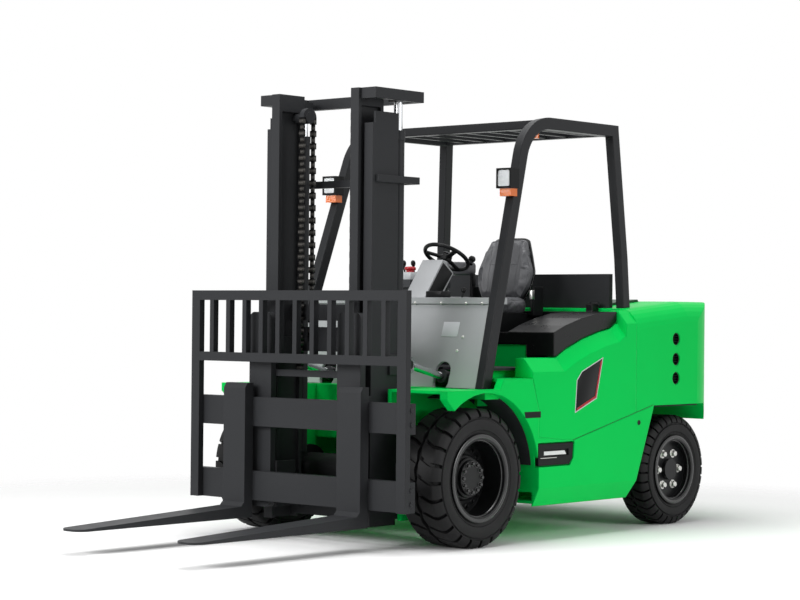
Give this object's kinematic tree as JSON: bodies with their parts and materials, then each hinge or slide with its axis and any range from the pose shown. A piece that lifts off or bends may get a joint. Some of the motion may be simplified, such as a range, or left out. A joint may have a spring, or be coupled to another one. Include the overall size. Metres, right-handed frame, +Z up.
{
  "type": "electric counterbalance fork-lift truck",
  "caption": "Four-wheel electric counterbalance fork-lift truck: two-stage mast, wide carriage with load guard and forks, open cab under an overhead guard, cast counterweight, rear steering.",
  "frame": {"origin": "on the floor under the middle of the box", "axes": "+Z up, -Y the way the forks point, +X the driver's left"},
  "size_m": [1.88, 4.594, 2.728],
  "materials": {
    "body_green": "gloss",
    "cover_green": "satin",
    "mast_black": "satin",
    "guard_black": "satin",
    "hood_black": "semi-gloss",
    "cab_grey": "matt",
    "floor_rubber": "matt",
    "tyre_rubber": "matt",
    "rim_black": "satin",
    "bright_steel": "polished",
    "axle_iron": "matt",
    "chain_steel": "oiled",
    "seat_vinyl": "satin",
    "lamp_glass": "clear",
    "amber": "gloss",
    "battery_case": "matt"
  },
  "bodies": {
    "chassis": {"frame": "body_green", "side_covers": "body_green", "counterweight": "body_green", "top_cover": "cover_green", "battery": "battery_case", "floor_plate": "floor_rubber", "front_cowl": "cab_grey", "dashboard": "cab_grey", "overhead_guard": "guard_black", "rear_panel": "guard_black", "headlamps": "hood_black", "lamp_lenses": "lamp_glass", "indicators": "amber", "step_lamps": "hood_black", "drive_axle": "axle_iron", "steer_axle": "axle_iron"},
    "hood": {"battery_hood": "hood_black", "seat_base": "cab_grey", "seat_cushion": "seat_vinyl", "seat_back": "seat_vinyl", "side_console": "cab_grey"},
    "steering_wheel": {"steering_wheel": "hood_black"},
    "mast": {"outer_mast": "mast_black", "lift_barrels": "mast_black"},
    "inner": {"inner_mast": "mast_black", "lift_rods": "bright_steel", "chain_back": "chain_steel"},
    "carriage": {"carriage": "mast_black", "load_guard": "mast_black", "forks": "mast_black", "chain_front": "chain_steel"},
    "tilt_barrel_left": {"tilt_barrel_left": "mast_black"},
    "tilt_rod_left": {"tilt_rod_left": "bright_steel"},
    "tilt_barrel_right": {"tilt_barrel_right": "mast_black"},
    "tilt_rod_right": {"tilt_rod_right": "bright_steel"},
    "front_wheel_left": {"front_tyre_left": "tyre_rubber", "front_rim_left": "rim_black"},
    "front_wheel_right": {"front_tyre_right": "tyre_rubber", "front_rim_right": "rim_black"},
    "knuckle_left": {"knuckle_left": "axle_iron"},
    "rear_wheel_left": {"rear_tyre_left": "tyre_rubber", "rear_rim_left": "rim_black"},
    "knuckle_right": {"knuckle_right": "axle_iron"},
    "rear_wheel_right": {"rear_tyre_right": "tyre_rubber", "rear_rim_right": "rim_black"}
  },
  "joints": [
    {"name": "mast_tilt", "type": "hinge", "parent": "chassis", "child": "mast", "pos_m": [0, -0.482, 0.23], "axis": [1, 0, 0], "range_deg": [-10, 6]},
    {"name": "mast_lift", "type": "slide", "parent": "mast", "child": "inner", "axis": [0, 0, 1], "range_m": [-0.06, 1.4], "deforming": ["chain_back"]},
    {"name": "carriage_lift", "type": "slide", "parent": "inner", "child": "carriage", "axis": [0, 0, 1], "range_m": [-0.06, 1.4], "deforming": ["chain_front"]},
    {"name": "steer_left", "type": "hinge", "parent": "chassis", "child": "knuckle_left", "pos_m": [0.595, 1.798, 0.364], "axis": [0, 0, 1], "range_deg": [-60, 60]},
    {"name": "steer_right", "type": "hinge", "parent": "chassis", "child": "knuckle_right", "pos_m": [-0.595, 1.798, 0.364], "axis": [0, 0, 1], "range_deg": [-60, 60]},
    {"name": "hood_lid", "type": "hinge", "parent": "chassis", "child": "hood", "pos_m": [0, 1.228, 1.458], "axis": [-1, 0, 0], "range_deg": [0, 45]},
    {"name": "steering_turn", "type": "hinge", "parent": "chassis", "child": "steering_wheel", "pos_m": [0.04, 0.388, 1.754], "axis": [0, 0.5299, 0.848], "continuous": true},
    {"name": "tilt_swing_left", "type": "hinge", "parent": "chassis", "child": "tilt_barrel_left", "pos_m": [0.477, 0.308, 0.9], "axis": [-1, 0, 0], "range_deg": [-1.84, 2.69]},
    {"name": "tilt_stroke_left", "type": "slide", "parent": "tilt_barrel_left", "child": "tilt_rod_left", "axis": [0, -0.975, 0.2222], "range_m": [-0.1502, 0.0921]},
    {"name": "front_spin_left", "type": "hinge", "parent": "chassis", "child": "front_wheel_left", "pos_m": [0.778, -0.332, 0.415], "axis": [1, 0, 0], "continuous": true},
    {"name": "rear_spin_left", "type": "hinge", "parent": "knuckle_left", "child": "rear_wheel_left", "pos_m": [0.745, 1.798, 0.364], "axis": [1, 0, 0], "continuous": true},
    {"name": "tilt_swing_right", "type": "hinge", "parent": "chassis", "child": "tilt_barrel_right", "pos_m": [-0.477, 0.308, 0.9], "axis": [-1, 0, 0], "range_deg": [-1.84, 2.69]},
    {"name": "tilt_stroke_right", "type": "slide", "parent": "tilt_barrel_right", "child": "tilt_rod_right", "axis": [0, -0.975, 0.2222], "range_m": [-0.1502, 0.0921]},
    {"name": "front_spin_right", "type": "hinge", "parent": "chassis", "child": "front_wheel_right", "pos_m": [-0.778, -0.332, 0.415], "axis": [1, 0, 0], "continuous": true},
    {"name": "rear_spin_right", "type": "hinge", "parent": "knuckle_right", "child": "rear_wheel_right", "pos_m": [-0.745, 1.798, 0.364], "axis": [1, 0, 0], "continuous": true}
  ],
  "couplings": [
    {"joint": "carriage_lift", "follows": "mast_lift", "ratio": 1},
    {"joint": "steer_right", "follows": "steer_left", "ratio": 1},
    {"joint": "tilt_swing_left", "follows": "mast_tilt", "ratio": -0.212},
    {"joint": "tilt_stroke_left", "follows": "mast_tilt", "m_per_rad": 0.832},
    {"joint": "tilt_swing_right", "follows": "mast_tilt", "ratio": -0.212},
    {"joint": "tilt_stroke_right", "follows": "mast_tilt", "m_per_rad": 0.832}
  ]
}
